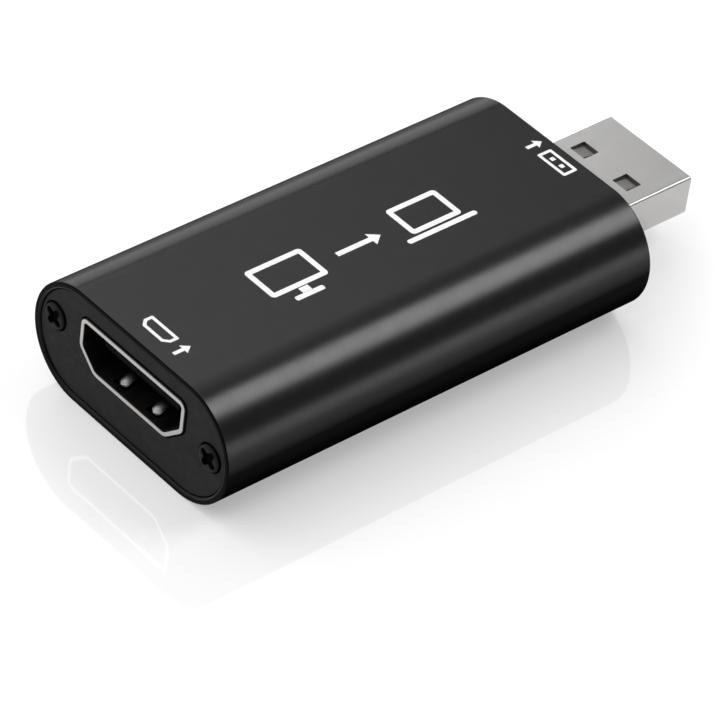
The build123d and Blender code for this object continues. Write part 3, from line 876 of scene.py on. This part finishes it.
def screw_head_height(x, z):
    """Height of a screw's head over the plate: a crown that falls away to the rim as a
    superellipse, less a cross whose round-ended arms narrow outwards and whose floor falls
    towards the middle."""
    radius = np.hypot(x, z)
    fall = (radius / SCREW_HEAD_RADIUS) ** SCREW_CROWN_POWER
    crown = SCREW_CROWN * np.clip(1 - fall, 0, 1) ** 0.5
    turn = math.radians(CROSS_TURN)
    first = x * math.cos(turn) + z * math.sin(turn)
    second = -x * math.sin(turn) + z * math.cos(turn)
    half_span = CROSS_SPAN / 2

    def inside(along, across):
        """How far a point lies inside an arm: its half width less the distance from its line."""
        narrowing = (CROSS_HALF_WIDTH - CROSS_ARM_END) * np.abs(along) / half_span
        past_line = np.maximum(np.abs(along) - half_span + CROSS_ARM_END, 0)
        return CROSS_HALF_WIDTH - narrowing - np.hypot(across, past_line)

    arms = np.maximum(inside(first, second), inside(second, first))
    floor = CROSS_DEPTH * (1 - CROSS_FLOOR_RISE * np.clip(radius / half_span, 0, 1))
    return crown - floor * smooth_step(arms / CROSS_WALL)


def screw(place, depth, facing):
    """One screw: rings of its head's height round the middle, with radii that follow a power of
    the sine of even angles, then its rim, cone, shank and point; facing is -1 to the front and 1
    to the rear."""
    turns, rings, power = 192, 90, 0.9
    angle = np.linspace(0, 2 * np.pi, turns, endpoint=False)
    radii = SCREW_HEAD_RADIUS * np.sin(np.linspace(0, np.pi / 2, rings)) ** power
    x, z = radii[:, None] * np.cos(angle), radii[:, None] * np.sin(angle)
    height = screw_head_height(x, z)
    below = np.array([
        (SCREW_HEAD_RADIUS, -SCREW_HEAD_RIM),
        (SCREW_SHANK_RADIUS, -SCREW_CONE_DEPTH),
        (SCREW_SHANK_RADIUS, SCREW_POINT_LENGTH - SCREW_LENGTH),
        (SCREW_POINT_RADIUS, -SCREW_LENGTH),
        (0, -SCREW_LENGTH),
    ])
    x = np.concatenate([x, below[:, :1] * np.cos(angle)])
    z = np.concatenate([z, below[:, :1] * np.sin(angle)])
    height = np.concatenate([height, np.repeat(below[:, 1:], turns, 1)])
    return skin(np.stack([place[0] + x, depth + facing * height, place[1] + z], 2))


def make_screws(name, node, depth, facing):
    """Both screws of an end plate, with painted shade: near-black colour in their crosses and low
    on the side of their crowns.
    """
    patches = [screw(place, depth, facing) for place in SCREW_PLACES]
    pair = piece(name, patches, SCREW_BLACK, "screw_steel", [node], smooth_angle=50)
    centres = face_vectors(pair, "center") / MM
    height = facing * (centres[:, 1] - FRONT - depth)
    radii = [np.hypot(centres[:, 0] - x, centres[:, 2] - z) for x, z in SCREW_PLACES]
    radius = np.min(radii, 0)
    # faces in the crosses and low on the crowns' sides get the painted shade
    cross = (height > CROSS_SHADE_BOTTOM) & (height < CROSS_SHADE_TOP)
    cross &= radius < CROSS_SPAN / 2
    side = (radius > CROWN_SHADE_RADIUS) & (height < CROWN_SHADE_TOP)
    more_materials(pair, [SCREW_PAINTED_SHADE], cross | side)


make_screws("front_screw_pair", "front_screws", PLATE_RECESS, -1)
make_screws("rear_screw_pair", "rear_screws", SLEEVE_LENGTH - PLATE_RECESS, 1)


# ---------------------------------------------------------------- video socket


def make_socket_shell():
    """Stamped shell: wall and rolled lip carried round the mouth, with windows for the fingers.
    Its nickel keeps its own colour where it faces the front; elsewhere it is rougher, with its
    colour darkened as painted shade."""
    lip_back = SOCKET_FRONT + LIP_DEPTH
    profile = [(SOCKET_SHEET, SOCKET_BACK), (0, SOCKET_BACK)]
    mouth, front, back = LIP_MOUTH_EDGE, LIP_FRONT_EDGE, LIP_BACK_EDGE
    profile += corner(mouth, SOCKET_FRONT + mouth, mouth, 180, 270)
    profile += corner(LIP_WIDTH - front, SOCKET_FRONT + front, front, 270, 360)
    profile += corner(LIP_WIDTH - back, lip_back - back, back, 0, 90, 5)
    profile += [(SOCKET_SHEET, lip_back)]
    shell = piece(
        "socket_shell_stamped", [skin(carried(socket_mouth(), profile), close_rows=True)],
        SOCKET_NICKEL, "socket_steel", ["socket_shell"],
    )
    windows = []
    for wall in (SOCKET_MIDDLE - SOCKET_HEIGHT / 2, SOCKET_MIDDLE + SOCKET_HEIGHT / 2):
        for x in FINGER_XS:
            outline, _ = rounded_rectangle(WINDOW_WIDTH, WINDOW_HEIGHT, WINDOW_CORNER, (x, wall))
            windows += plain_bar(outline, WINDOW_FRONT, FINGER_ROOT)
    cut(shell, windows)
    # faces that don't face the front get the nickel with painted shade
    dull = face_vectors(shell, "normal")[:, 1] > -0.8
    more_materials(shell, [SOCKET_PAINTED_SHADE], dull)


def finger_surface(share, across, lift):
    """Point of a finger: it climbs in an S from its root to the crest and turns back to the wall
    at its tip, it is crowned across near the crest, and its free end is half an ellipse."""
    root, crest, tip = FINGER_ROOT + FINGER_OVERLAP, FINGER_CREST, FINGER_TIP
    depth = root + (tip - root) * share
    climb = smooth_step((FINGER_ROOT - depth) / (FINGER_ROOT - crest)) * FINGER_CLIMB
    fall = np.clip((crest - depth) / (crest - tip), 0, 1) ** 1.5 * FINGER_FALL
    crowned = smooth_step((FINGER_CROWN_START - depth) / FINGER_CROWN_LENGTH)
    crown = FINGER_CROWN * across**2 * crowned
    towards_end = np.clip((tip + FINGER_NOSE - depth) / (FINGER_NOSE + 0.02), 0, 1)
    half = FINGER_WIDTH / 2 * np.sqrt(1 - towards_end**2)
    return half * across, depth, climb - fall - crown + lift


def finger(x, inner_face, inwards):
    """One spring finger as a closed sheet: its upper surface, then its lower one on the way
    back. Its steps get shorter towards the tip, as a power of the even share that is left."""
    columns, rows, power = 17, 91, 1.6
    across = np.linspace(-1, 1, columns)
    lift = np.repeat([FINGER_SHEET / 2, -FINGER_SHEET / 2], columns)
    across = np.concatenate([across, across[::-1]])
    share = 1 - np.linspace(1, 0, rows) ** power
    side, depth, rise = finger_surface(share[:, None], across[None], lift[None])
    wall = inner_face - inwards * SOCKET_SHEET / 2
    grid = np.stack(np.broadcast_arrays(x + side, depth, wall + inwards * rise), 2)
    ends = [(grid[i], [list(range(grid.shape[1]))]) for i in (0, -1)]
    return [skin(grid)] + ends


def make_fingers():
    """The four spring fingers of the socket."""
    patches = []
    for inwards in (1, -1):
        inner_face = SOCKET_MIDDLE - inwards * SOCKET_HEIGHT / 2
        for x in FINGER_XS:
            patches += finger(x, inner_face, inwards)
    piece("socket_fingers", patches, FINGER_NICKEL, "socket_steel", smooth_angle=40)


make_socket_shell()
make_fingers()


# ---------------------------------------------------------------- computer plug


def make_plug_shell():
    """Folded shell of the plug, with rounded mouth, four holes and the seam underneath."""
    outer, inner = PLUG_MOUTH_EDGE, PLUG_INNER_EDGE
    profile = [(0, PLUG_BACK)]
    profile += corner(-outer, PLUG_TIP - outer, outer, 0, 90)
    profile += corner(-PLUG_SHEET + inner, PLUG_TIP - inner, inner, 90, 180, 5)
    profile += [(-PLUG_SHEET, PLUG_BACK)]
    shell = piece(
        "plug_shell_folded", [skin(carried(plug_contour, profile), close_rows=True)],
        PLUG_NICKEL, "plug_steel", ["plug_shell"],
    )
    cuts = []
    middle = PLUG_TIP - PLUG_HOLE_SETBACK - PLUG_HOLE_LENGTH / 2
    floor, ceiling = PLUG_MIDDLE - PLUG_HEIGHT / 2, PLUG_MIDDLE + PLUG_HEIGHT / 2
    for z in (floor, ceiling):
        for x in PLUG_HOLE_XS:
            outline, _ = rounded_rectangle(
                PLUG_HOLE_WIDTH, PLUG_HOLE_LENGTH, PLUG_HOLE_CORNER, (x, middle)
            )
            cuts += upright_bar(outline, z - PLUG_HOLE_REACH, z + PLUG_HOLE_REACH)
    seam, _ = rounded_rectangle(PLUG_SEAM, PLUG_SEAM_HEIGHT, PLUG_SEAM_CORNER, (0, floor))
    cuts += plain_bar(seam, PLUG_BACK - 1, PLUG_TIP + 1)
    cut(shell, cuts)


def upright_bar(outline, bottom, top):
    """Bar whose outline is drawn in X and depth, between two heights: a plain bar with depth and
    height exchanged."""
    lying = plain_bar(outline, bottom, top)
    return [(points[:, [0, 2, 1]], faces) for points, faces in lying]


make_plug_shell()


# ---------------------------------------------------------------- printed marks


def ring_mark(corners, radius, stroke):
    """Outline mark: a closed line of a stroke's width along the inside of a rounded polygon."""
    count = len(corners)
    outer, _ = rounded_polygon(corners, [radius] * count)
    inner_corners = moved_in(corners, np.full(count, stroke))
    inner, _ = rounded_polygon(inner_corners, [max(radius - stroke, MARK_LEAST_RADIUS)] * count)
    flat = np.stack([outer, outer, inner, inner])
    levels = np.array([MARK_BOTTOM, SLEEVE_HEIGHT, SLEEVE_HEIGHT, MARK_BOTTOM])
    height = np.broadcast_to(levels[:, None, None], flat.shape[:2] + (1,))
    return [skin(np.concatenate([flat[..., :1], height, flat[..., 1:]], 2), close_rows=True)]


def solid_mark(outline):
    """Filled mark of an outline."""
    return plain_bar(outline, MARK_BOTTOM, SLEEVE_HEIGHT)


def arrow_mark(length, stroke, centre, turn):
    """Arrow that points along the first axis before its turn in degrees. Its head is two strokes
    long and three wide."""
    tip, neck = length / 2, length / 2 - 2.0 * stroke
    corners = np.array([
        (-tip, -stroke / 2), (neck, -stroke / 2), (neck, -1.5 * stroke), (tip, 0),
        (neck, 1.5 * stroke), (neck, stroke / 2), (-tip, stroke / 2),
    ])
    c, s = math.cos(math.radians(turn)), math.sin(math.radians(turn))
    return solid_mark(corners @ np.array([(c, s), (-s, c)]) + centre)


def print_marks(name, marks, centre, turn):
    """Prints marks, drawn about their own middle, on the top of the sleeve."""
    c, s = math.cos(math.radians(turn)), math.sin(math.radians(turn))
    patches = []
    for points, faces in marks:
        across, height, along = np.asarray(points).T
        flat = [centre[0] + c * across - s * along, centre[1] + s * across + c * along, height]
        patches.append((np.stack(flat, 1), faces))
    piece(name, patches, WHITE_INK, "")


def socket_mark():
    """Outline of the video socket, reduced, beside an arrow into the body."""
    w, h = 1.95, 0.82
    corners = [(-1.35, -h), (1.35, -h), (w, -0.2), (w, h), (-w, h), (-w, -0.2)]
    marks = ring_mark(np.array(corners) - (1.1, 0), 0.15, MARK_STROKE)
    return marks + arrow_mark(ARROW_LENGTH, ARROW_STROKE, (2.2, 0), 90)


def plug_mark():
    """Outline of the plug with its two holes, beside an arrow out of the body."""
    marks = ring_mark(rectangle(3.9, 1.8, (-1.1, 0)), 0.2, MARK_STROKE)
    for x in (-1.75, -0.45):
        marks += solid_mark(rounded_rectangle(0.5, 0.5, 0.06, (x, 0))[0])
    return marks + arrow_mark(ARROW_LENGTH, ARROW_STROKE, (2.2, 0), -90)


def screens_mark():
    """A monitor, an arrow and a notebook computer, in outline."""
    line = SCREEN_STROKE
    marks = ring_mark(rectangle(6.8, 4.4, (-8.4, 0.7)), 0.45, line)
    marks += solid_mark(rounded_rectangle(1.1, 0.75, 0.05, (-8.4, -2.0))[0])
    marks += solid_mark(rounded_rectangle(3.4, line, 0.2, (-8.4, -2.7))[0])
    marks += arrow_mark(5.4, line, (0, 0.2), 0)
    marks += ring_mark(rectangle(6.2, 4.2, (8.4, 0.6)), 0.45, line)
    return marks + solid_mark(rounded_rectangle(8.6, line, 0.28, (8.4, -2.1))[0])


print_marks("printed_socket_mark", socket_mark(), (1.35, 2.6), 0)
print_marks("printed_plug_mark", plug_mark(), (0.6, 50.4), 180)
print_marks("printed_screens", screens_mark(), (1.0, 26.0), 90)


# ---------------------------------------------------------------- floor, lights and camera


def sweep_surface(flat, bend, rise):
    """Floor that curves up all round: at each bearing, out level from the middle, then along an
    arc of the bend's radius until its angle from straight down is the rise."""
    turns = 128
    angle = np.radians(np.linspace(0, rise, 25))
    level = np.linspace(0.02, flat, 5)[:-1]
    reach = np.concatenate([level, flat + bend * np.sin(angle)])
    height = np.concatenate([np.zeros(len(level)), bend * (1 - np.cos(angle))])
    bearing = np.linspace(2 * np.pi, 0, turns, endpoint=False)
    across, back = reach[:, None] * np.cos(bearing), reach[:, None] * np.sin(bearing)
    up = np.broadcast_to(height[:, None], across.shape)
    points, faces = skin(np.stack([across, back, up], 2))
    return points, faces + [list(range(turns))[::-1]]


def make_floor():
    """Plain white floor with a faint polish, swept up far from the object. What the camera sees
    of it glows a little, straight on or through a reflection."""
    data = bpy.data.meshes.new("floor")
    points, faces = sweep_surface(FLOOR_FLAT, FLOOR_BEND, FLOOR_RISE)
    data.from_pydata(points.tolist(), [], faces)
    data.shade_smooth()
    floor = bpy.data.objects.new("floor", data)
    bpy.context.scene.collection.objects.link(floor)
    material = bpy.data.materials.new("white_floor")
    material.use_nodes = True
    tree = material.node_tree
    shader = tree.nodes["Principled BSDF"]
    shader.inputs["Base Color"].default_value = (FLOOR_WHITE, FLOOR_WHITE, FLOOR_WHITE, 1)
    shader.inputs["Roughness"].default_value = FLOOR_ROUGHNESS
    shader.inputs["IOR"].default_value = FLOOR_IOR
    rays = tree.nodes.new("ShaderNodeLightPath")
    seen = rays.outputs["Is Camera Ray"]
    for kind in ("Is Glossy Ray", "Is Transmission Ray"):
        either = tree.nodes.new("ShaderNodeMath")
        either.operation = "MAXIMUM"
        tree.links.new(seen, either.inputs[0])
        tree.links.new(rays.outputs[kind], either.inputs[1])
        seen = either.outputs["Value"]
    glow = tree.nodes.new("ShaderNodeMath")
    glow.operation = "MULTIPLY"
    glow.inputs[1].default_value = FLOOR_GLOW
    tree.links.new(seen, glow.inputs[0])
    tree.links.new(glow.outputs["Value"], shader.inputs["Emission Strength"])
    shader.inputs["Emission Color"].default_value = (1, 1, 1, 1)
    data.materials.append(material)


def make_world():
    """Soft studio glow: brightest high on the left, dim towards the right and the back."""
    world = bpy.data.worlds.new("studio")
    bpy.context.scene.world = world
    world.use_nodes = True
    nodes, links = world.node_tree.nodes, world.node_tree.links
    place = nodes.new("ShaderNodeTexCoord")
    towards = nodes.new("ShaderNodeVectorMath")
    towards.operation = "DOT_PRODUCT"
    towards.inputs[1].default_value = Vector(GLOW_DIRECTION).normalized()
    links.new(place.outputs["Generated"], towards.inputs[0])
    ramp = grey_ramp(nodes, GLOW_STOPS)
    links.new(towards.outputs["Value"], ramp.inputs["Fac"])
    links.new(ramp.outputs["Color"], nodes["Background"].inputs["Color"])
    nodes["Background"].inputs["Strength"].default_value = 1.0


def softbox(name, direction, size, radiance):
    """Rectangular area light that faces the object from a direction; its power is its radiance
    times pi times its area."""
    data = bpy.data.lights.new(name, "AREA")
    data.shape = "RECTANGLE"
    data.size, data.size_y = size
    data.energy = radiance * math.pi * size[0] * size[1]
    lamp = bpy.data.objects.new(name, data)
    bpy.context.scene.collection.objects.link(lamp)
    away = Vector(direction).normalized()
    lamp.location = away * LAMP_DISTANCE
    lamp.rotation_euler = away.to_track_quat("Z", "Y").to_euler()


def make_camera():
    """Camera at the place and tilt solved from the photograph."""
    azimuth, elevation = math.radians(CAMERA_AZIMUTH), math.radians(CAMERA_ELEVATION)
    roll = math.radians(CAMERA_ROLL)
    right = Vector((math.cos(azimuth), math.sin(azimuth), 0))
    up = Vector((
        -math.sin(azimuth) * math.sin(elevation),
        math.cos(azimuth) * math.sin(elevation),
        math.cos(elevation),
    ))
    back = right.cross(up)
    place = Vector(CAMERA_AIM) + Vector((0, FRONT, 0)) + back * CAMERA_DISTANCE
    place += right * CAMERA_SHIFT[0] + up * CAMERA_SHIFT[1]
    across = math.cos(roll) * right + math.sin(roll) * up
    upright = -math.sin(roll) * right + math.cos(roll) * up
    data = bpy.data.cameras.new("camera")
    data.sensor_width = SENSOR_WIDTH
    data.lens = CAMERA_FOCAL_PIXELS / IMAGE_PIXELS * SENSOR_WIDTH
    data.clip_start, data.clip_end = 0.01, 20
    camera = bpy.data.objects.new("camera", data)
    bpy.context.scene.collection.objects.link(camera)
    axes = Matrix((across, upright, back)).transposed().to_4x4()
    camera.matrix_world = Matrix.Translation(place * MM) @ axes
    bpy.context.scene.camera = camera


make_floor()
make_world()
for lamp in LAMPS:
    softbox(*lamp)
make_camera()
bpy.context.scene.view_settings.view_transform = "Standard"
